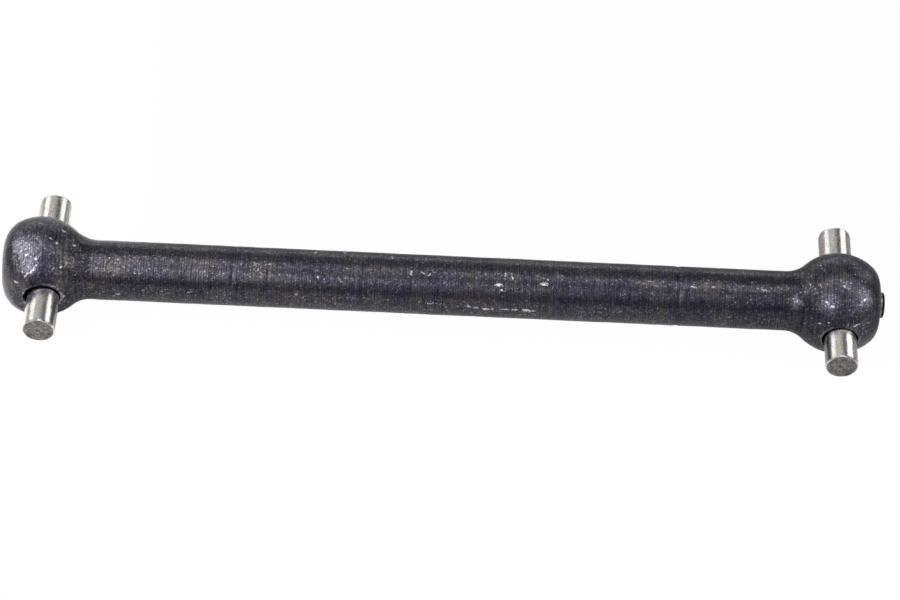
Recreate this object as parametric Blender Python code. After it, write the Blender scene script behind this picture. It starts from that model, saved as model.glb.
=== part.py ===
"""Dogbone drive shaft for a pair of universal joints on a radio-controlled model car.

One turned steel shaft carries a ball at each end. A straight ground pin is pressed through each ball, and
turns in the slots of a drive cup. The origin is on the shaft's axis, midway between the two pins. +X runs
along the shaft to the end with the parting-off pip, both pins lie along Y, and +Z is up.
"""

from math import atan2, cos, pi, radians, sin, sqrt

import bmesh
import bpy
from mathutils import Vector

MM = 0.001
X_AXIS = Vector((1.0, 0.0, 0.0))
Y_AXIS = Vector((0.0, 1.0, 0.0))
Z_AXIS = Vector((0.0, 0.0, 1.0))

# Driving dimensions
PIN_SPACING = 49.2 * MM
SHAFT_RADIUS = 1.85 * MM
PIN_RADIUS = 1.0 * MM
PIN_CHAMFER = 0.08 * MM

# The pins are a press fit. The solids keep a hair of clearance all round instead.
BORE_CLEARANCE = 0.05 * MM
COUNTERSINK_WIDTH = 0.15 * MM

# The two ball ends. Offsets along the shaft count outward from the end's own pin axis. The pins are sheared
# to slightly different lengths, and pin_shift is how far each one sits off centre towards +Y.
LEFT_END = {
    "ball_radius": 3.07 * MM,
    "ball_offset": 0.33 * MM,
    "face_offset": 2.65 * MM,
    "rim_radius": 1.73 * MM,
    "neck_radius": 2.0 * MM,
    "pin_length": 10.4 * MM,
    "pin_shift": 0.05 * MM,
}
RIGHT_END = {
    "ball_radius": 3.12 * MM,
    "ball_offset": -0.05 * MM,
    "face_offset": 2.5 * MM,
    "rim_radius": 1.47 * MM,
    "neck_radius": 1.8 * MM,
    "pin_length": 10.6 * MM,
    "pin_shift": 0.15 * MM,
}

# The pip that parting off leaves in the middle of the right-hand end face
PIP_RADIUS = 0.8 * MM
PIP_LENGTH = 0.32 * MM
PIP_ROUNDING = 0.1 * MM

# Fineness of the facets
SHAFT_SEGMENTS = 64
PIN_SEGMENTS = 48
ARC_STEP = radians(7.5)
SHARP_ANGLE = radians(35)
SAME_POINT = 0.0001 * MM

# Finishes: material name, colour, roughness, metallic
BLACK_OXIDE = ("black_oxide_steel", (0.035, 0.037, 0.045, 1.0), 0.38, 1.0)
GROUND_STEEL = ("ground_steel", (0.62, 0.62, 0.64, 1.0), 0.22, 1.0)


def clear_scene():
    for obj in list(bpy.data.objects):
        bpy.data.objects.remove(obj, do_unlink=True)


def principled(name, color, roughness, metallic):
    material = bpy.data.materials.new(name)
    material.use_nodes = True
    shader = material.node_tree.nodes["Principled BSDF"]
    shader.inputs["Base Color"].default_value = color
    shader.inputs["Roughness"].default_value = roughness
    shader.inputs["Metallic"].default_value = metallic
    return material


def arc(center, radius, start, end):
    """Points (along, radial) of a circular arc from one angle to another, both ends included."""
    steps = max(2, round(abs(end - start) / ARC_STEP))
    angles = [start + (end - start) * i / steps for i in range(steps + 1)]
    return [(center[0] + radius * cos(a), center[1] + radius * sin(a)) for a in angles]


def end_outline(end):
    """Half-section of a ball end from its face inward, as (distance outward from the pin axis, radius).

    A rim arc joins the flat face to the ball, touching both, and a neck arc joins the ball to the shaft in
    the same way, so the outline has no corner.
    """
    ball = end["ball_radius"]
    rim = end["rim_radius"]
    neck = end["neck_radius"]
    ball_along = end["ball_offset"]
    rim_along = end["face_offset"] - ball_along - rim
    rim_radial = sqrt((ball - rim) ** 2 - rim_along**2)
    neck_radial = SHAFT_RADIUS + neck
    neck_along = -sqrt((ball + neck) ** 2 - neck_radial**2)
    rim_touch = atan2(rim_radial, rim_along)
    neck_touch = atan2(neck_radial, neck_along)
    points = arc((ball_along + rim_along, rim_radial), rim, 0.0, rim_touch)
    points += arc((ball_along, 0.0), ball, rim_touch, neck_touch)
    points += arc((ball_along + neck_along, neck_radial), neck, neck_touch - pi, -pi / 2)
    return points


def pip_outline(face_offset):
    """Half-section of the pip, from its own flat tip back to the end face it stands on."""
    corner = (face_offset + PIP_LENGTH - PIP_ROUNDING, PIP_RADIUS - PIP_ROUNDING)
    return arc(corner, PIP_ROUNDING, 0.0, pi / 2) + [(face_offset, PIP_RADIUS)]


def shaft_outline():
    """The whole shaft's half-section from the left face to the right pip's tip, as (x, radius)."""
    half = PIN_SPACING / 2
    left = end_outline(LEFT_END)
    right = pip_outline(RIGHT_END["face_offset"]) + end_outline(RIGHT_END)
    points = [(-half - along, radial) for along, radial in left]
    return points + [(half + along, radial) for along, radial in reversed(right)]


def turned(name, outline, axis, segments):
    """A closed solid of revolution about the X or Y axis, whose outline ends in two flat discs."""
    bm = bmesh.new()
    verts = []
    for along, radial in outline:
        point = axis * along + Z_AXIS * radial
        if not verts or (verts[-1].co - point).length > SAME_POINT:
            verts.append(bm.verts.new(point))
    edges = [bm.edges.new(pair) for pair in zip(verts, verts[1:])]
    bmesh.ops.spin(bm, geom=verts + edges, axis=axis, angle=2 * pi, steps=segments, use_merge=True)
    bmesh.ops.remove_doubles(bm, verts=bm.verts, dist=SAME_POINT)
    bmesh.ops.holes_fill(bm, edges=bm.edges, sides=segments)
    bmesh.ops.recalc_face_normals(bm, faces=bm.faces)
    mesh = bpy.data.meshes.new(name)
    bm.to_mesh(mesh)
    bm.free()
    mesh.shade_smooth()
    mesh.set_sharp_from_angle(angle=SHARP_ANGLE)
    obj = bpy.data.objects.new(name, mesh)
    bpy.context.scene.collection.objects.link(obj)
    return obj


def pin_outline(length):
    """A plain pin with a small chamfer at each end."""
    half = length / 2
    flank = half - PIN_CHAMFER
    land = PIN_RADIUS - PIN_CHAMFER
    return [(-half, land), (-flank, PIN_RADIUS), (flank, PIN_RADIUS), (half, land)]


def bore_outline(end):
    """The cross bore, which opens at 45 degrees just under the ball's surface and runs on past it."""
    bore = PIN_RADIUS + BORE_CLEARANCE
    mouth = sqrt(end["ball_radius"] ** 2 - (bore + COUNTERSINK_WIDTH) ** 2)
    flare = mouth - COUNTERSINK_WIDTH
    reach = end["pin_length"] / 2
    wide = bore + reach - flare
    return [(-reach, wide), (-flare, bore), (flare, bore), (reach, wide)]


def drill(shaft, x, end):
    """Cuts the cross bore at one end. Bore and pin have their facets in line, so the gap is even."""
    cutter = turned("bore_cutter", bore_outline(end), Y_AXIS, PIN_SEGMENTS)
    cutter.location = (x, 0, 0)
    cutter.hide_render = True
    cutter.display_type = "WIRE"
    cut = shaft.modifiers.new("cross_bore", "BOOLEAN")
    cut.operation = "DIFFERENCE"
    cut.solver = "EXACT"
    cut.object = cutter


def cross_pin(name, x, end, material):
    pin = turned(name, pin_outline(end["pin_length"]), Y_AXIS, PIN_SEGMENTS)
    pin.location = (x, end["pin_shift"], 0)
    pin.data.materials.append(material)
    return pin


def main():
    clear_scene()
    black_oxide = principled(*BLACK_OXIDE)
    ground_steel = principled(*GROUND_STEEL)
    left = -PIN_SPACING / 2
    right = PIN_SPACING / 2

    shaft = turned("dogbone_shaft", shaft_outline(), X_AXIS, SHAFT_SEGMENTS)
    shaft.data.materials.append(black_oxide)
    drill(shaft, left, LEFT_END)
    drill(shaft, right, RIGHT_END)

    cross_pin("left_cross_pin", left, LEFT_END, ground_steel).parent = shaft
    cross_pin("right_cross_pin", right, RIGHT_END, ground_steel).parent = shaft


main()
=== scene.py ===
"""Looks of the dogbone drive shaft: fine meshes, steel finishes, a pale floor and soft studio light.

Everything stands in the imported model's frame, in metres: X runs along the shaft, the cross pins lie along Y
and Z is up. Shapes below are written in millimetres, and turned into metres as each mesh is made.
"""

from math import atan2, cos, pi, radians, sin, sqrt, tan

import bmesh
import bpy
import numpy as np
from mathutils import Matrix, Vector


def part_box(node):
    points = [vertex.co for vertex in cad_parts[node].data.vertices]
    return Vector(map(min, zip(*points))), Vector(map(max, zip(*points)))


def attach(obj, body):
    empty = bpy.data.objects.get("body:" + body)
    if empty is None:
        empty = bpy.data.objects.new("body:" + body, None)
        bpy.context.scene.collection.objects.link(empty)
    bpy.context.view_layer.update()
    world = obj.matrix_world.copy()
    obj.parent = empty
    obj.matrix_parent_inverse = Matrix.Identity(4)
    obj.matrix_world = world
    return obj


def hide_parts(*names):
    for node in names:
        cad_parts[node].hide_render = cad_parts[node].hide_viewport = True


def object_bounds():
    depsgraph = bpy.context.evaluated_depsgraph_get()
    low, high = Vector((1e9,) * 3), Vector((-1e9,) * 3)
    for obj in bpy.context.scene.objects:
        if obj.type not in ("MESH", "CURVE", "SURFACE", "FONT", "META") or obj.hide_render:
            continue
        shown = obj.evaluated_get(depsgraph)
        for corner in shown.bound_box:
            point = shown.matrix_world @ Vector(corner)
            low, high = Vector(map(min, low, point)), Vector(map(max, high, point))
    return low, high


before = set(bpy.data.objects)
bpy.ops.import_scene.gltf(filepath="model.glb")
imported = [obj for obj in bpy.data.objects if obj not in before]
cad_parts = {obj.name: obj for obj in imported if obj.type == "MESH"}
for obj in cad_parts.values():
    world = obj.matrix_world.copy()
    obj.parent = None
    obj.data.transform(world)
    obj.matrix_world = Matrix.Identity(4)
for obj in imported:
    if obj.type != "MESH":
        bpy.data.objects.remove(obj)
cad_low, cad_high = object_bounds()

MM = 0.001
BODY = "root"

# From the frame, in millimetres
SHAFT_LOW, SHAFT_HIGH = (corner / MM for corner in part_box("dogbone_shaft"))
LEFT_PIN_LOW, LEFT_PIN_HIGH = (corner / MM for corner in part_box("left_cross_pin"))
RIGHT_PIN_LOW, RIGHT_PIN_HIGH = (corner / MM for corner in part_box("right_cross_pin"))
PIN_RADIUS = (LEFT_PIN_HIGH.x - LEFT_PIN_LOW.x) / 2
LEFT_PIN_X = (LEFT_PIN_LOW.x + LEFT_PIN_HIGH.x) / 2
RIGHT_PIN_X = (RIGHT_PIN_LOW.x + RIGHT_PIN_HIGH.x) / 2

# The turned outline. "along" counts outward from an end's pin axis.
SHAFT_RADIUS = 1.85
PIP_RADIUS = 0.8
PIP_LENGTH = 0.32
PIP_ROUNDING = 0.12
LEFT_END = {"ball": 3.07, "offset": 0.33, "rim": 1.73, "neck": 2.0, "face": LEFT_PIN_X - SHAFT_LOW.x}
RIGHT_END = {"ball": 3.12, "offset": -0.05, "rim": 1.47, "neck": 1.8}
PIP_START = SHAFT_HIGH.x - PIP_LENGTH
RIGHT_END["face"] = PIP_START - RIGHT_PIN_X

# Fineness of the turned mesh
SEGMENTS = 136
ROD_STEP = 0.115
BALL_STEP = 0.065
CENTER_RADIUS = 0.03
CROWDED_TURN = radians(130)

# Rings that the turning tool cut deeper than the rest: x, depth, half width
GROOVES = (
    (-13.0, 0.014, 0.10),
    (-10.8, 0.010, 0.08),
    (-1.95, 0.010, 0.07),
    (3.8, 0.008, 0.06),
    (14.55, 0.03, 0.12),
)
DEEPEST_GROOVE = 0.03

# Knocks that bared the metal: x, turn, length, width, lean of the length away from X, how bare.
# Turns and leans are in degrees. A turn of 90 is the top of the shaft, and 180 faces -Y.
ROD_KNOCKS = (
    (3.4, 125, 0.44, 0.20, 0, 1.0), (3.6, 134, 0.20, 0.18, 0, 0.7), (6.2, 119, 0.52, 0.24, 0, 0.85),
    (6.4, 111, 0.16, 0.12, 0, 0.7), (1.6, 171, 0.22, 0.24, 0, 0.9), (2.1, 175, 0.24, 0.18, 0, 0.8),
    (2.7, 177, 0.48, 0.18, 0, 1.1), (3.15, 177, 0.20, 0.14, 0, 0.8), (3.9, 176, 0.60, 0.13, 0, 0.9),
    (4.5, 176, 0.50, 0.13, 0, 0.9), (5.2, 176, 0.50, 0.19, 0, 1.1), (5.6, 177, 0.34, 0.15, 0, 0.8),
    (-2.0, 98, 0.13, 0.16, 0, 0.5), (-2.0, 109, 0.17, 0.44, 0, 0.55), (3.8, 105, 0.17, 0.42, 0, 0.5),
    (4.2, 104, 0.14, 0.30, 0, 0.4), (4.25, 110, 0.16, 0.16, 0, 0.8), (-1.3, 108, 0.36, 0.12, 25, 0.45),
    (-0.85, 110, 0.40, 0.12, -25, 0.45), (15.4, 111, 0.30, 0.12, 0, 0.7),
    (16.7, 110, 0.24, 0.10, 0, 0.6), (19.8, 111, 0.36, 0.12, 0, 0.6), (-20.0, 182, 0.34, 0.13, 0, 0.8),
    (-20.3, 189, 0.40, 0.13, 0, 0.6), (-0.6, 169, 1.10, 0.13, 0, 0.35), (-11.3, 112, 1.5, 1.1, 0, 0.15),
    (-15.65, 168, 0.24, 0.13, -35, 0.75), (-9.0, 161, 0.12, 0.50, 0, 0.5),
    (-3.25, 73, 0.22, 0.30, 0, 0.65), (-8.0, 66, 0.34, 0.22, 0, 0.65), (-6.15, 60, 0.30, 0.30, 0, 0.65),
    (-6.4, 129, 0.12, 0.40, 0, 0.45), (-7.75, 126, 0.17, 0.15, 0, 0.7),
)
BALL_KNOCKS = (
    (-25.18, 135.5, 0.60, 0.13, 133, 0.6), (-25.03, 129.6, 0.36, 0.13, 124, 0.5),
    (-25.55, 141, 0.5, 0.13, 118, 0.65), (-24.98, 120.5, 0.30, 0.14, 124, 0.65),
    (-25.6, 116.5, 0.24, 0.16, -20, 0.7), (-23.9, 132, 0.26, 0.13, -37, 0.8),
    (-23.42, 129, 0.28, 0.13, -30, 0.7), (-26.18, 151.3, 0.32, 0.17, 17, 1.0),
    (-23.36, 181, 0.24, 0.14, -40, 0.9), (-24.2, 95, 0.26, 0.13, -15, 0.8),
    (-23.8, 99, 0.22, 0.14, -40, 1.2), (-23.5, 76, 0.28, 0.26, 40, 0.75),
    (-22.8, 92, 0.24, 0.14, 0, 0.9), (-26.33, 165.6, 0.18, 0.12, 0, 0.6),
    (23.9, 135, 0.22, 0.16, 0, 1.2), (23.55, 130, 0.16, 0.14, 0, 0.9), (25.9, 125, 0.14, 0.14, 0, 0.8),
    (23.2, 158, 0.26, 0.14, 30, 0.6), (23.75, 155, 0.22, 0.13, -30, 0.55),
    (25.45, 157, 0.50, 0.13, -12, 0.9), (26.1, 157, 0.44, 0.12, -12, 0.7),
    (24.95, 155, 0.30, 0.12, -50, 0.6), (24.6, 111, 0.20, 0.16, 0, 0.6),
    (23.2, 110, 0.14, 0.34, 0, 0.3),
)
KNOCK_DEPTH = 0.018

# How bright the coat is painted, from left to right: x and brightness. This is mostly painted light, fitted
# to how the light falls along the shaft, with painted shade in the necks; on the balls it also stands for
# worn, brighter coat.
LIGHT_AND_WEAR = (
    (-24.2, 1.45),
    (-22.8, 0.86),
    (-19.0, 0.95),
    (-11.0, 1.10),
    (12.0, 1.16),
    (19.0, 1.14),
    (22.0, 0.78),
    (24.4, 1.27),
)


# ---------------------------------------------------------------- turned outline

def line(start, end, step):
    """Points from start up to, but not including, end."""
    start = np.array(start, float)
    end = np.array(end, float)
    count = max(1, round(np.linalg.norm(end - start) / step))
    return [tuple(start + (end - start) * i / count) for i in range(count)]


def arc(center, radius, start, end, step):
    """Points along a circular arc, without its last one."""
    count = max(2, round(abs(end - start) * radius / step))
    angles = [start + (end - start) * i / count for i in range(count)]
    return [(center[0] + radius * cos(a), center[1] + radius * sin(a)) for a in angles]


def end_outline(end):
    """(along, radius) from the end face's flat, round its rim and the ball, and down the neck to the rod."""
    ball, rim, neck, offset = end["ball"], end["rim"], end["neck"], end["offset"]
    rim_along = end["face"] - offset - rim
    rim_radial = sqrt((ball - rim) ** 2 - rim_along**2)
    neck_radial = SHAFT_RADIUS + neck
    neck_along = -sqrt((ball + neck) ** 2 - neck_radial**2)
    rim_touch = atan2(rim_radial, rim_along)
    neck_touch = atan2(neck_radial, neck_along)
    points = arc((offset + rim_along, rim_radial), rim, 0.0, rim_touch, BALL_STEP)
    points += arc((offset, 0.0), ball, rim_touch, neck_touch, BALL_STEP)
    points += arc((offset + neck_along, neck_radial), neck, neck_touch - pi, -pi / 2, BALL_STEP)
    return points, rim_radial, offset + neck_along


def rod_outline(start, end):
    """Points along the rod, closer together where a groove crosses it."""
    count = round((end - start) / ROD_STEP)
    places = [start + (end - start) * i / count for i in range(count)]
    for x, depth, half in GROOVES:
        places = [place for place in places if abs(place - x) > 2 * half]
        places += [x + half * share for share in (-1.9, -1.2, -0.7, -0.3, 0, 0.3, 0.7, 1.2, 1.9)]
    return [(place, SHAFT_RADIUS) for place in sorted(places)]


def shaft_outline():
    """(x, radius) of the whole shaft, from the middle of the left face to the middle of the pip."""
    left, left_flat, left_neck = end_outline(LEFT_END)
    right, right_flat, right_neck = end_outline(RIGHT_END)
    left_face = LEFT_PIN_X - LEFT_END["face"]
    right_face = RIGHT_PIN_X + RIGHT_END["face"]
    points = line((left_face, CENTER_RADIUS), (left_face, left_flat), BALL_STEP)
    points += [(LEFT_PIN_X - along, radius) for along, radius in left]
    rod_start = (LEFT_PIN_X - left_neck, SHAFT_RADIUS)
    rod_end = (RIGHT_PIN_X + right_neck, SHAFT_RADIUS)
    points += rod_outline(rod_start[0], rod_end[0])
    points += [rod_end] + [(RIGHT_PIN_X + along, radius) for along, radius in reversed(right)]
    points += line((right_face, right_flat), (right_face, PIP_RADIUS), BALL_STEP)
    tip = right_face + PIP_LENGTH
    corner = (tip - PIP_ROUNDING, PIP_RADIUS - PIP_ROUNDING)
    points += line((right_face, PIP_RADIUS), (corner[0], PIP_RADIUS), BALL_STEP)
    points += arc(corner, PIP_ROUNDING, pi / 2, 0.0, BALL_STEP / 2)
    points += line((tip, corner[1]), (tip, CENTER_RADIUS), BALL_STEP) + [(tip, CENTER_RADIUS)]
    return np.array(points)


def outline_normals(points):
    """Unit normals (along, radial), out of the metal, of an outline that runs from low x to high x."""
    tangent = np.gradient(points, axis=0)
    normal = np.stack([-tangent[:, 1], tangent[:, 0]], axis=1)
    return normal / np.linalg.norm(normal, axis=1, keepdims=True)


def lathe(name, points, segments, relief, axis="X", crowding=0.0):
    """A closed turned mesh about X or Y. relief(along, radius, angle) raises its surface, in millimetres.

    crowding, from 0 to 1, draws the steps round it closer together at CROWDED_TURN.
    """
    normals = outline_normals(points)
    angle = np.arange(segments) * 2 * pi / segments
    angle = angle - crowding * np.sin(angle - CROWDED_TURN)
    along, turn = np.meshgrid(points[:, 0], angle, indexing="ij")
    radius = np.repeat(points[:, 1:2], segments, axis=1)
    raised = relief(along, radius, turn)
    along = along + normals[:, 0:1] * raised
    radius = radius + normals[:, 1:2] * raised
    first = radius * np.cos(turn)
    second = radius * np.sin(turn)
    order = (along, first, second) if axis == "X" else (second, along, first)
    verts = np.stack(order, axis=-1).reshape(-1, 3)
    rings = len(points)
    ring, step = np.meshgrid(np.arange(rings - 1), np.arange(segments), indexing="ij")
    here = ring * segments + step
    beside = ring * segments + (step + 1) % segments
    faces = np.stack([here, here + segments, beside + segments, beside], axis=-1).reshape(-1, 4)
    caps = [list(range(segments)), list(range((rings - 1) * segments, rings * segments))]
    mesh = bpy.data.meshes.new(name)
    mesh.from_pydata((verts * MM).tolist(), [], faces.tolist() + caps)
    bm = bmesh.new()
    bm.from_mesh(mesh)
    bmesh.ops.recalc_face_normals(bm, faces=bm.faces)
    bm.to_mesh(mesh)
    bm.free()
    obj = bpy.data.objects.new(name, mesh)
    bpy.context.scene.collection.objects.link(obj)
    return obj


def no_relief(along, radius, turn):
    """A relief for lathe that leaves the surface plain."""
    return np.zeros_like(along)


def waves(place, seed, longest, shortest, count=28):
    """A smooth random height about zero, of unit spread. place holds points in millimetres."""
    rng = np.random.default_rng(seed)
    heading = rng.normal(size=(count, 3))
    heading /= np.linalg.norm(heading, axis=1, keepdims=True)
    length = np.exp(rng.uniform(np.log(shortest), np.log(longest), count))
    phase = rng.uniform(0, 2 * pi, count)
    return np.sin(place @ (heading * 2 * pi / length[:, None]).T + phase).sum(-1) * sqrt(2 / count)


def ease(value, low, high):
    """0 below low, 1 above high and smooth between them."""
    share = np.clip((value - low) / (high - low), 0, 1)
    return share * share * (3 - 2 * share)


def knocked(along, radius, turn):
    """How much of the surface is knocked away: about 1 in the middle of a bare knock, 0 outside."""
    found = np.zeros_like(along)
    for x, degrees_round, length, width, lean, bare in ROD_KNOCKS + BALL_KNOCKS:
        off_along = along - x
        off_turn = (turn - radians(degrees_round) + pi) % (2 * pi) - pi
        off_round = radius * off_turn
        lengthwise = (off_along * cos(radians(lean)) + off_round * sin(radians(lean))) / (length / 2)
        widthwise = (off_round * cos(radians(lean)) - off_along * sin(radians(lean))) / (width / 2)
        found = np.maximum(found, bare * np.exp(-((lengthwise**2 + widthwise**2) ** 1.5)))
    return found


def grooved(along):
    """How deep the surface is cut by the grooves, in millimetres."""
    found = np.zeros_like(along)
    for x, depth, half in GROOVES:
        found = np.maximum(found, depth * np.exp(-(((along - x) / half) ** 2)))
    return found


def shaft_relief(along, radius, turn):
    """Gentle waves, less the knocks and the grooves. The pip and the middle of each end face stay plain."""
    place = np.stack([along, radius * np.cos(turn), radius * np.sin(turn)], axis=-1)
    height = 0.0035 * waves(place, 11, 5.0, 1.2) + 0.0022 * waves(place, 12, 0.9, 0.35)
    on_turned = ease(radius, 0.5, 1.2)
    return (height - KNOCK_DEPTH * knocked(along, radius, turn) - grooved(along)) * on_turned


def read_points(mesh):
    flat = np.empty(len(mesh.vertices) * 3)
    mesh.vertices.foreach_get("co", flat)
    return flat.reshape(-1, 3) / MM


def paint(mesh, name, values):
    layer = mesh.attributes.new(name, "FLOAT", "POINT")
    layer.data.foreach_set("value", np.asarray(values, float))


def apply_modifiers(obj):
    graph = bpy.context.evaluated_depsgraph_get()
    mesh = bpy.data.meshes.new_from_object(obj.evaluated_get(graph))
    obj.modifiers.clear()
    obj.data = mesh


def smooth(obj, sharp_degrees=35):
    obj.data.shade_smooth()
    obj.data.set_sharp_from_angle(angle=radians(sharp_degrees))


# ---------------------------------------------------------------- pieces

# Each bore: its gap round the pin, where its middle stands from the pin's (along X and Z), and its chamfer
LEFT_BORE = {"gap": 0.09, "x": -0.05, "z": 0.04, "chamfer": 0.07}
RIGHT_BORE = {"gap": 0.06, "x": -0.02, "z": -0.02, "chamfer": 0.06}
BORE_REACH = 5.0

# How far the left ball stands off the rod's axis, along Y and Z, and how deep wear has flattened it round its
# pin
BALL_SHIFT = (0.065, 0.055)
SEAT_DEPTH = 0.30

# How far the bores' mouths stand from the shaft's axis
MOUTH_RADIUS = 1.1
LEFT_MOUTH = sqrt(LEFT_END["ball"] ** 2 - MOUTH_RADIUS**2) - SEAT_DEPTH
RIGHT_MOUTH = sqrt(RIGHT_END["ball"] ** 2 - MOUTH_RADIUS**2)

PIN_CHAMFER = 0.035
FINE_LENGTH = 0.4


def settle_left_ball(shaft):
    """The left ball stands a little off the rod's axis and is flattened by wear where its pin comes out."""
    points = read_points(shaft.data)
    across = np.hypot(points[:, 0] - LEFT_PIN_X, points[:, 2])
    on_ball = ease(-points[:, 0], 21.3, 23.0)
    seat = SEAT_DEPTH * (1 - ease(across, MOUTH_RADIUS, 2.0)) * on_ball * (np.abs(points[:, 1]) > 1.5)
    points[:, 1] -= np.sign(points[:, 1]) * seat
    points[:, 1] += BALL_SHIFT[0] * on_ball
    points[:, 2] += BALL_SHIFT[1] * on_ball
    shaft.data.vertices.foreach_set("co", (points * MM).ravel())


def drill(shaft, pin_x, bore, mouth):
    """Bores along Y at pin_x. mouth is how far the bore's mouth stands from the shaft's axis."""
    radius = PIN_RADIUS + bore["gap"]
    flare = mouth - bore["chamfer"]
    wide = radius + BORE_REACH - flare
    outline = [(-BORE_REACH, wide), (-flare, radius), (flare, radius), (BORE_REACH, wide)]
    cutter = lathe("bore_cutter", np.array(outline), 96, no_relief, axis="Y")
    cutter.location = ((pin_x + bore["x"]) * MM, 0, bore["z"] * MM)
    cut = shaft.modifiers.new("cross_bore", "BOOLEAN")
    cut.operation = "DIFFERENCE"
    cut.solver = "EXACT"
    cut.object = cutter
    apply_modifiers(shaft)
    bpy.data.objects.remove(cutter, do_unlink=True)


def make_shaft():
    shaft = lathe("blackened_shaft", shaft_outline(), SEGMENTS, shaft_relief, crowding=0.5)
    settle_left_ball(shaft)
    drill(shaft, LEFT_PIN_X, LEFT_BORE, LEFT_MOUTH)
    drill(shaft, RIGHT_PIN_X, RIGHT_BORE, RIGHT_MOUTH)
    x, y, z = read_points(shaft.data).T
    radius = np.hypot(y, z)
    paint(shaft.data, "knocked", knocked(x, radius, np.arctan2(z, y)))
    paint(shaft.data, "grooved", grooved(x) / DEEPEST_GROOVE)
    smooth(shaft)
    return shaft


def make_pin(name, low, high, mouth, seed):
    """A ground pin with sheared ends: rough faces inside a rolled, uneven rim.

    mouth is how far its bore's mouths stand from the shaft's axis. Inside them the pin is painted dark:
    painted shade from the bore.
    """
    inner = PIN_RADIUS - PIN_CHAMFER
    corners = (
        # a corner of the outline, and the step from it to the next
        ((low.y, CENTER_RADIUS), 0.03),
        ((low.y, inner), 0.02),
        ((low.y + PIN_CHAMFER, PIN_RADIUS), 0.04),
        ((low.y + FINE_LENGTH, PIN_RADIUS), 0.12),
        ((high.y - FINE_LENGTH, PIN_RADIUS), 0.04),
        ((high.y - PIN_CHAMFER, PIN_RADIUS), 0.02),
        ((high.y, inner), 0.03),
        ((high.y, CENTER_RADIUS), 0.03),
    )
    points = []
    for (start, step), (end, _) in zip(corners, corners[1:]):
        points += line(start, end, step)
    points.append(corners[-1][0])

    def relief(along, radius, turn):
        place = np.stack([radius * np.cos(turn), along, radius * np.sin(turn)], axis=-1)
        from_end = np.minimum(along - low.y, high.y - along)
        at_end = 1 - ease(from_end, 0.0, 0.12)
        at_rim = ease(radius, 0.84, 0.92)
        sheared = at_end * (1 - at_rim)
        rim = at_end * at_rim
        rough = 0.014 * waves(place, seed, 0.35, 0.12, 48) + 0.014 * waves(place, seed + 3, 1.2, 0.5) - 0.075
        wavy = 0.018 * waves(place, seed + 1, 1.6, 0.5) - 0.042
        side = 0.0012 * waves(place, seed + 2, 1.5, 0.4)
        return np.where(from_end < 0.5, sheared * rough + rim * wavy, 0.0) + (1 - at_end) * side

    pin = lathe(name, np.array(points), 112, relief, axis="Y")
    place = read_points(pin.data)
    from_end = np.minimum(place[:, 1] - low.y, high.y - place[:, 1])
    across = np.hypot(place[:, 0], place[:, 2])
    paint(pin.data, "sheared", (1 - ease(from_end, 0.15, 0.20)) * (1 - ease(across, 0.91, 0.96)))
    # Painted shade: the pin is painted dark within its bore's mouths
    paint(pin.data, "inside", 1 - ease(np.abs(place[:, 1]), mouth - 0.12, mouth + 0.08))
    pin.location = ((low.x + high.x) / 2 * MM, 0, 0)
    smooth(pin, 60)
    return pin


# ---------------------------------------------------------------- materials

# How far the turning tool moved in each turn, and the way the coat's slanted strokes run
TOOL_PITCH = 0.155
STROKE_LEAN = (0.707, 0.538, 0.458)


def add_node(tree, kind, inputs=None, **settings):
    """A node with its settings made and its inputs set. An input that is another node's output is linked."""
    node = tree.nodes.new(kind)
    for name, value in settings.items():
        setattr(node, name, value)
    for name, value in (inputs or {}).items():
        set_input(tree, node.inputs[name], value)
    return node


def set_input(tree, socket, value):
    if isinstance(value, bpy.types.NodeSocket):
        tree.links.new(value, socket)
    else:
        socket.default_value = value


def math_node(tree, operation, first, second=0.0, third=0.0):
    return add_node(tree, "ShaderNodeMath", {0: first, 1: second, 2: third}, operation=operation).outputs[0]


def chain(tree, operation, values):
    result = values[0]
    for value in values[1:]:
        result = math_node(tree, operation, result, value)
    return result


def times(tree, *values):
    return chain(tree, "MULTIPLY", values)


def plus(tree, *values):
    return chain(tree, "ADD", values)


def largest(tree, *values):
    return chain(tree, "MAXIMUM", values)


def remap(tree, value, low, high, to_low=0.0, to_high=1.0):
    """A smooth clamped ramp from to_low, where value is low, to to_high, where it is high."""
    inputs = {"Value": value, "From Min": low, "From Max": high, "To Min": to_low, "To Max": to_high}
    return add_node(tree, "ShaderNodeMapRange", inputs, interpolation_type="SMOOTHSTEP").outputs["Result"]


def swing(tree, value, strength):
    """exp(strength * (value - 0.5)): a factor about 1 that swings further up than down."""
    return math_node(tree, "EXPONENT", times(tree, math_node(tree, "SUBTRACT", value, 0.5), strength))


def noise(tree, vector, scale, detail=2.0, roughness=0.5):
    inputs = {"Vector": vector, "Scale": scale, "Detail": detail, "Roughness": roughness}
    return add_node(tree, "ShaderNodeTexNoise", inputs).outputs["Fac"]


def vector_of(tree, x, y, z):
    return add_node(tree, "ShaderNodeCombineXYZ", {"X": x, "Y": y, "Z": z}).outputs["Vector"]


def vector_math(tree, operation, inputs, output="Vector"):
    return add_node(tree, "ShaderNodeVectorMath", inputs, operation=operation).outputs[output]


def scaled(tree, vector, factor):
    """A vector, or a color, times a factor."""
    return vector_math(tree, "SCALE", {0: vector, "Scale": factor})


def mix_color(tree, factor, first, second):
    node = add_node(tree, "ShaderNodeMix", data_type="RGBA", clamp_factor=True)
    for name, value in (("Factor_Float", factor), ("A_Color", first), ("B_Color", second)):
        set_input(tree, next(s for s in node.inputs if s.identifier == name), value)
    return next(s for s in node.outputs if s.identifier == "Result_Color")


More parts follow.
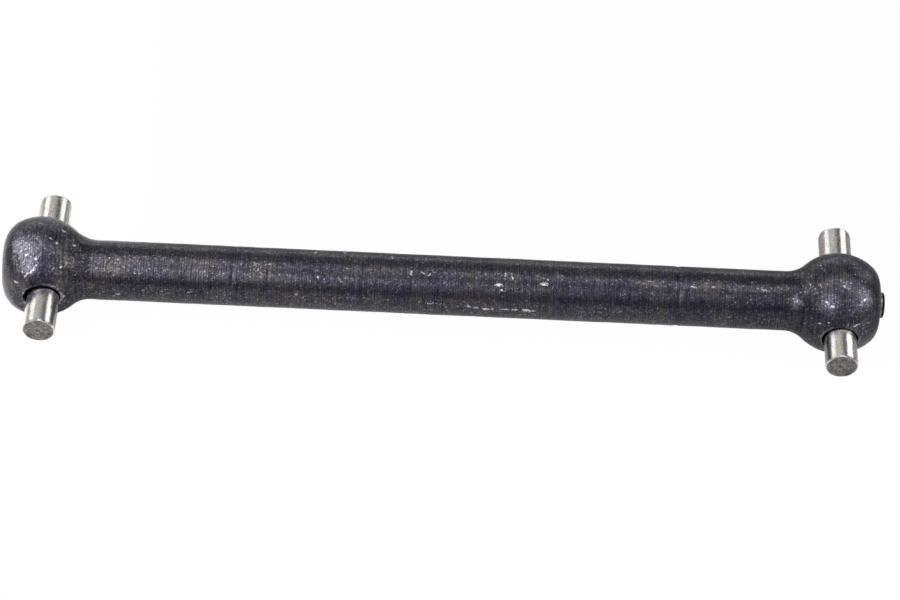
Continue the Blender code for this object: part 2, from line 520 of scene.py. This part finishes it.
def position(tree):
    """The point on the piece in millimetres, as a vector and as its three parts."""
    place = add_node(tree, "ShaderNodeTexCoord").outputs["Object"]
    point = scaled(tree, place, 1 / MM)
    parts = add_node(tree, "ShaderNodeSeparateXYZ", {"Vector": point})
    return point, [parts.outputs[name] for name in "XYZ"]


def painted(tree, name):
    """The values that paint gave the mesh under this name."""
    return add_node(tree, "ShaderNodeAttribute", attribute_name=name).outputs["Fac"]


def new_material(name):
    mat = bpy.data.materials.new(name)
    mat.use_nodes = True
    return mat, mat.node_tree, mat.node_tree.nodes["Principled BSDF"]


def set_metal(tree, shader, color, roughness, height, depth):
    """A metal finish. height is its bump, and depth is how far a height of 1 stands out, in millimetres."""
    shader.inputs["Metallic"].default_value = 1.0
    tree.links.new(color, shader.inputs["Base Color"])
    tree.links.new(roughness, shader.inputs["Roughness"])
    bump = add_node(tree, "ShaderNodeBump", {"Height": height, "Strength": 1.0, "Distance": depth * MM})
    tree.links.new(bump.outputs["Normal"], shader.inputs["Normal"])


def bore_distance(tree, x, z):
    """How far a point stands outside the nearer cross bore, in millimetres."""
    left = remap(tree, x, -1.0, 1.0, 1.0, 0.0)

    def pick(left_value, right_value):
        return math_node(tree, "MULTIPLY_ADD", left, left_value - right_value, right_value)

    middle_x = pick(LEFT_PIN_X + LEFT_BORE["x"], RIGHT_PIN_X + RIGHT_BORE["x"])
    off_x = math_node(tree, "SUBTRACT", x, middle_x)
    off_z = math_node(tree, "SUBTRACT", z, pick(LEFT_BORE["z"], RIGHT_BORE["z"]))
    squares = plus(tree, times(tree, off_x, off_x), times(tree, off_z, off_z))
    edge = pick(PIN_RADIUS + LEFT_BORE["gap"], PIN_RADIUS + RIGHT_BORE["gap"])
    return math_node(tree, "SUBTRACT", math_node(tree, "SQRT", squares), edge)


def slanted_strokes(tree, point, x):
    """Noise drawn out along STROKE_LEAN, strongest on the left ball."""
    share = vector_math(tree, "DOT_PRODUCT", {0: point, 1: STROKE_LEAN}, "Value")
    drawn_out = scaled(tree, STROKE_LEAN, times(tree, share, -0.78))
    leaning = vector_math(tree, "ADD", {0: point, 1: drawn_out})
    strokes = remap(tree, noise(tree, leaning, 8.0, 1.0, 0.5), 0.62, 0.74)
    return times(tree, strokes, remap(tree, x, -23.0, -17.0, 0.8, 0.12))


def coat_light_and_wear(tree, x):
    """The brightness of the table of painted light and wear at x, going smoothly from one of its places to
    the next.
    """
    brightness = LIGHT_AND_WEAR[0][1]
    for (x_from, bright_from), (x_to, bright_to) in zip(LIGHT_AND_WEAR, LIGHT_AND_WEAR[1:]):
        brightness = times(tree, remap(tree, x, x_from, x_to, 1.0, bright_to / bright_from), brightness)
    return brightness


def coat_color(tree, x, marks, pitch, grain, dabs, patches):
    """The sound coat: blue-black to grey-black, shaded by turning marks and grain, with painted light and
    shade along x and wear on the balls.
    """
    bluer = (0.0335, 0.0328, 0.044, 1)
    greyer = (0.0385, 0.0368, 0.040, 1)
    shade = times(tree, swing(tree, marks, 1.6), swing(tree, grain, 2.6))
    shade = times(tree, shade, swing(tree, dabs, 1.3), swing(tree, patches, 0.8))
    pitch_depth = remap(tree, math_node(tree, "ABSOLUTE", x), 22.0, 24.0, 0.16, 0.22)
    # Painted light and shade along x, and wear on the balls
    shade = times(tree, shade, plus(tree, times(tree, pitch, pitch_depth), 1.0), coat_light_and_wear(tree, x))
    return scaled(tree, mix_color(tree, remap(tree, patches, 0.40, 0.64), bluer, greyer), shade)


def black_oxide():
    """The shaft's blackened steel, with bare metal where the coat is off."""
    mat, tree, shader = new_material("black_oxide")
    point, (x, y, z) = position(tree)
    radius = math_node(tree, "SQRT", plus(tree, times(tree, y, y), times(tree, z, z)))

    # Turning marks. feed counts along the turned outline, and never stands still on it.
    feed = math_node(tree, "SUBTRACT", math_node(tree, "ABSOLUTE", x), times(tree, radius, 0.7))
    ringed = vector_of(tree, times(tree, feed, 9.0), times(tree, y, 0.6), times(tree, z, 0.6))
    marks = noise(tree, ringed, 1.0, 2.0, 0.6)
    pitch = math_node(tree, "SINE", times(tree, feed, 2 * pi / TOOL_PITCH))

    grain = noise(tree, point, 7.5, 2.0, 0.75)
    dabs = noise(tree, point, 2.6, 3.0, 0.65)
    patches = noise(tree, point, 0.5, 3.0, 0.55)
    strokes = slanted_strokes(tree, point, x)

    # Where the coat is off: scattered specks, the knocks and the burr round each bore
    speck = times(tree, remap(tree, grain, 0.62, 0.74), remap(tree, dabs, 0.48, 0.62))
    speck = largest(tree, speck, strokes)
    ragged = times(tree, math_node(tree, "SUBTRACT", grain, 0.5), 2.2)
    knock = remap(tree, plus(tree, painted(tree, "knocked"), ragged), 0.20, 0.85)
    from_bore = bore_distance(tree, x, z)
    burr = times(tree, remap(tree, from_bore, 0.04, 0.08), remap(tree, from_bore, 0.14, 0.22, 1.0, 0.0))
    burr = times(tree, burr, remap(tree, dabs, 0.44, 0.56), remap(tree, x, -10.0, 10.0, 0.35, 0.1))

    # Painted shade in the bores, the grooves and round the pip's tip, and a painted lit bluish band on the
    # pip's side
    bore_shade = remap(tree, from_bore, 0.0, 0.03, 1.0, 0.0)
    groove_shade = times(tree, painted(tree, "grooved"), 0.45)
    round_pip = remap(tree, radius, PIP_RADIUS - 0.17, PIP_RADIUS - 0.11)
    pip_lit_band = times(tree, round_pip, remap(tree, x, PIP_START, PIP_START + 0.02))
    pip_tip_shade = times(tree, round_pip, remap(tree, x, PIP_START + 0.14, PIP_START + 0.18))

    color = coat_color(tree, x, marks, pitch, grain, dabs, patches)
    for share, over in (
        (times(tree, speck, 0.30), (0.30, 0.29, 0.30, 1)),
        (largest(tree, knock, burr), (0.48, 0.47, 0.48, 1)),
        # painted shade in the bores and the grooves
        (bore_shade, (0.008, 0.008, 0.009, 1)),
        (groove_shade, (0.012, 0.012, 0.015, 1)),
        # a painted lit band on the pip's side, and painted shade at its tip
        (pip_lit_band, (0.15, 0.17, 0.20, 1)),
        (pip_tip_shade, (0.003, 0.003, 0.003, 1)),
    ):
        color = mix_color(tree, share, color, over)
    rough = largest(tree, remap(tree, grain, 0.3, 0.7, 0.36, 0.26), times(tree, knock, 0.6))
    height = plus(tree, times(tree, marks, 0.4), grain, strokes)
    height = plus(tree, height, times(tree, dabs, 1.5), times(tree, pitch, 0.06))
    set_metal(tree, shader, color, rough, height, 0.010)
    shader.inputs["Specular Tint"].default_value = (0.95, 0.95, 0.95, 1)
    return mat


def ground_steel():
    """The pins' bright steel: ground sides, painted shade in the bores, and dark torn ends."""
    mat, tree, shader = new_material("ground_steel")
    point, (x, y, z) = position(tree)
    grain = noise(tree, point, 9.0, 2.0, 0.6)
    lengthwise = vector_of(tree, times(tree, x, 12.0), times(tree, y, 1.5), times(tree, z, 12.0))
    lay = noise(tree, lengthwise, 1.0, 2.0, 0.6)
    stain = noise(tree, point, 1.3, 2.0, 0.5)
    torn = noise(tree, point, 4.0, 3.0, 0.7)
    sheared = painted(tree, "sheared")

    side = mix_color(tree, remap(tree, stain, 0.35, 0.65), (0.60, 0.57, 0.52, 1), (0.60, 0.60, 0.62, 1))
    side = scaled(tree, side, times(tree, swing(tree, grain, 1.3), swing(tree, lay, 1.0)))
    # Painted shade inside the bore's mouths
    side = mix_color(tree, painted(tree, "inside"), side, (0.012, 0.012, 0.014, 1))
    end = scaled(tree, (0.160, 0.149, 0.147), times(tree, swing(tree, grain, 2.6), swing(tree, torn, 2.4)))
    rough = plus(tree, remap(tree, grain, 0.3, 0.7, 0.18, 0.26), times(tree, sheared, 0.28))
    height = plus(tree, times(tree, grain, plus(tree, sheared, 0.15)), times(tree, lay, 0.05))
    set_metal(tree, shader, mix_color(tree, sheared, side, end), rough, height, 0.02)
    return mat


# ---------------------------------------------------------------- studio

CAMERA_TURN = {"azimuth": radians(-0.693), "elevation": radians(49.57), "roll": radians(3.114)}
CAMERA_LENS = 131.21
CAMERA_DISTANCE = 203.9
CAMERA_RIGHT = 0.432
CAMERA_UP = -0.910
FLOOR_HALF_SIZE = 2.0

# The lights near the balls are a little warm
WARM = (1.0, 0.98, 0.88)
ALL_ROUND = 180


def camera_axes(azimuth, elevation, roll):
    """The camera's right, up and back directions. Azimuth 0 looks along +Y."""
    back = Vector((sin(azimuth) * cos(elevation), -cos(azimuth) * cos(elevation), sin(elevation)))
    level = Vector((0, 0, 1)).cross(back).normalized()
    above = back.cross(level)
    right = level * cos(roll) + above * sin(roll)
    up = above * cos(roll) - level * sin(roll)
    return right, up, back


def add_camera():
    right, up, back = camera_axes(**CAMERA_TURN)
    data = bpy.data.cameras.new("camera")
    data.lens = CAMERA_LENS
    data.sensor_width = 36.0
    data.clip_start = 0.01
    camera = bpy.data.objects.new("camera", data)
    bpy.context.scene.collection.objects.link(camera)
    place = back * CAMERA_DISTANCE + right * CAMERA_RIGHT + up * CAMERA_UP
    camera.matrix_world = Matrix.Translation(place * MM) @ Matrix((right, up, back)).transposed().to_4x4()
    bpy.context.scene.camera = camera


def add_floor():
    """A white floor. The camera sees most of the shadow on it lifted, as on a lit studio table."""
    level = cad_low.z - 0.01 * MM
    half = FLOOR_HALF_SIZE
    corners = [(-half, -half, level), (half, -half, level), (half, half, level), (-half, half, level)]
    mesh = bpy.data.meshes.new("floor")
    mesh.from_pydata(corners, [], [(0, 1, 2, 3)])
    floor = bpy.data.objects.new("floor", mesh)
    bpy.context.scene.collection.objects.link(floor)
    mat, tree, shader = new_material("floor")
    _, (x, y, _) = position(tree)
    # Painted shadow: it is greyer behind the rod, far to the left behind it and beside the right end, and so
    # throws less light up at them
    behind = times(tree, remap(tree, x, -23.0, -18.0), remap(tree, y, 2.5, 6.0))
    beside = times(tree, remap(tree, x, 25.0, 31.0), remap(tree, y, -5.0, 0.0))
    far_left = times(tree, remap(tree, x, -23.0, -28.0), remap(tree, y, 4.0, 9.0, 0.0, 0.5))
    dark = largest(tree, far_left, behind, beside)
    white = mix_color(tree, dark, (0.6, 0.6, 0.6, 1), (0.2, 0.2, 0.2, 1))
    tree.links.new(white, shader.inputs["Base Color"])
    shader.inputs["Roughness"].default_value = 0.9
    glow = add_node(tree, "ShaderNodeEmission", {"Color": (1, 1, 1, 1), "Strength": 1.0})
    camera_ray = add_node(tree, "ShaderNodeLightPath").outputs["Is Camera Ray"]
    lift = times(tree, camera_ray, 0.985)
    mixed = add_node(tree, "ShaderNodeMixShader", {0: lift, 1: shader.outputs[0], 2: glow.outputs[0]})
    tree.links.new(mixed.outputs[0], tree.nodes["Material Output"].inputs["Surface"])
    floor.data.materials.append(mat)
    return floor


def light_group(name, *pieces):
    """Pieces that some lights are for: those bright enough for the dark coat would turn the pins white."""
    group = bpy.data.collections.new(name)
    for piece in pieces:
        group.objects.link(piece)
    return group


def softbox(
    name, lit, blockers, aim, azimuth, elevation, width, height, radiance, distance=400, beam=ALL_ROUND
):
    """An area light that covers the given angles, in degrees, as seen from the shaft at x = aim.

    lit is the collection of what it lights, and blockers that of what stands in its way, or None for
    everything. A beam falls off to its edge, so it lights that end of the shaft more than the other.
    """
    a, e = radians(azimuth), radians(elevation)
    away = Vector((sin(a) * cos(e), -cos(a) * cos(e), sin(e)))
    data = bpy.data.lights.new(name, "AREA")
    data.shape = "RECTANGLE"
    data.size = 2 * distance * MM * tan(radians(width / 2))
    data.size_y = 2 * distance * MM * tan(radians(height / 2))
    data.energy = radiance * pi * data.size * data.size_y
    if beam < ALL_ROUND:
        data.color = WARM
        # The same power in a narrower beam is brighter on its axis, by this much
        half = radians(beam / 2)
        data.spread = 2 * half
        data.energy *= 1 - half / tan(half)
    light = bpy.data.objects.new(name, data)
    light.location = (Vector((aim, 0, 0)) + away * distance) * MM
    light.rotation_euler = away.to_track_quat("Z", "Y").to_euler()
    light.light_linking.receiver_collection = lit
    light.light_linking.blocker_collection = blockers
    bpy.context.scene.collection.objects.link(light)


def add_world():
    """A pale room, white to the camera, that lights the object more from the left than from the right."""
    world = bpy.data.worlds.new("studio")
    bpy.context.scene.world = world
    world.use_nodes = True
    tree = world.node_tree
    background = tree.nodes["Background"]
    toward = add_node(tree, "ShaderNodeTexCoord").outputs["Generated"]
    parts = add_node(tree, "ShaderNodeSeparateXYZ", {"Vector": toward})
    right = remap(tree, parts.outputs["Y"], -0.2, 0.5, 0.36, 0.16)
    leftward = remap(tree, parts.outputs["X"], -0.4, 0.25, 1.0, 0.0)
    room = plus(tree, right, times(tree, leftward, math_node(tree, "SUBTRACT", 0.49, right)))
    seen = add_node(tree, "ShaderNodeLightPath").outputs["Is Camera Ray"]
    tree.links.new(largest(tree, room, seen), background.inputs["Strength"])
    cool = remap(tree, parts.outputs["Y"], -0.6, 0.1, 1.0, 0.0)
    cool = times(tree, cool, math_node(tree, "SUBTRACT", 1.0, seen))
    tree.links.new(mix_color(tree, cool, (1, 1, 1, 1), (0.96, 0.94, 1.16, 1)), background.inputs["Color"])


SOFTBOXES = (
    # name, lit, aim, azimuth, elevation, width, height, radiance, distance, beam
    ("overhead", "coat", 0, 0, 97, 100, 26, 2.0),
    ("left_front", "coat", 0, -34, 45, 34, 38, 4.8),
    ("left_near", "coat", LEFT_PIN_X, -44, 42, 34, 38, 6.3, 60, 60),
    ("right_front", "coat", 0, 46, 38, 44, 44, 1.0),
    ("left_side", "coat", LEFT_PIN_X, -106, 43, 34, 40, 9.5, 60, 70),
    ("right_side", "coat", RIGHT_PIN_X, 80, 31, 30, 36, 10.5, 90, 46),
    ("left_top", "coat", LEFT_PIN_X, -85, 75, 40, 26, 6.3, 60, 60),
    ("right_top", "coat", RIGHT_PIN_X, 90, 74, 34, 20, 2.6, 120, 46),
    ("back_high", "coat", 0, -168, 48, 36, 26, 0.45),
    ("left_back", "coat", 0, -135, 21, 15, 28, 1.4),
    ("right_back", "coat", 0, 130.5, 22, 22, 30, 2.0),
    ("back_low", "coat", 0, 180, 14, 60, 22, 1.5),
    ("pins_left_back", "pins", 0, -135, 21, 15, 28, 1.4),
    ("pins_right_back", "pins", 0, 130.5, 22, 22, 30, 2.0),
    ("pins_back_low", "pins", 0, 180, 14, 60, 22, 1.5),
    ("pins_back", "pins", 0, -168, 48, 36, 26, 0.27),
    ("pins_top", "pins", 0, 0, 90, 26, 50, 1.3),
    ("pins_left", "pins", 0, -90, 45, 18, 26, 1.1),
    ("pins_right", "pins", 0, 90, 40, 16, 24, 1.1),
    ("pins_front", "pins", 0, 0, 40, 60, 24, 0.9),
)


def main():
    shaft = make_shaft()
    left_pin = make_pin("left_ground_pin", LEFT_PIN_LOW, LEFT_PIN_HIGH, LEFT_MOUTH, 21)
    right_pin = make_pin("right_ground_pin", RIGHT_PIN_LOW, RIGHT_PIN_HIGH, RIGHT_MOUTH, 31)
    oxide = black_oxide()
    steel = ground_steel()
    shaft.data.materials.append(oxide)
    left_pin.data.materials.append(steel)
    right_pin.data.materials.append(steel)
    for piece, node, slot in (
        (shaft, "dogbone_shaft", "black_oxide_steel"),
        (left_pin, "left_cross_pin", "ground_steel"),
        (right_pin, "right_cross_pin", "ground_steel"),
    ):
        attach(piece, BODY)
        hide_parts(node)
    add_camera()
    floor = add_floor()
    add_world()
    coat_group = light_group("coat", shaft, floor)
    # The pins' lights pass through the balls, so the pins shine right up to their bores
    pin_group = light_group("pins", left_pin, right_pin)
    for name, group, *rest in SOFTBOXES:
        if group == "pins":
            softbox(name, pin_group, pin_group, *rest)
        else:
            softbox(name, coat_group, None, *rest)
    bpy.context.scene.view_settings.view_transform = "Standard"


main()
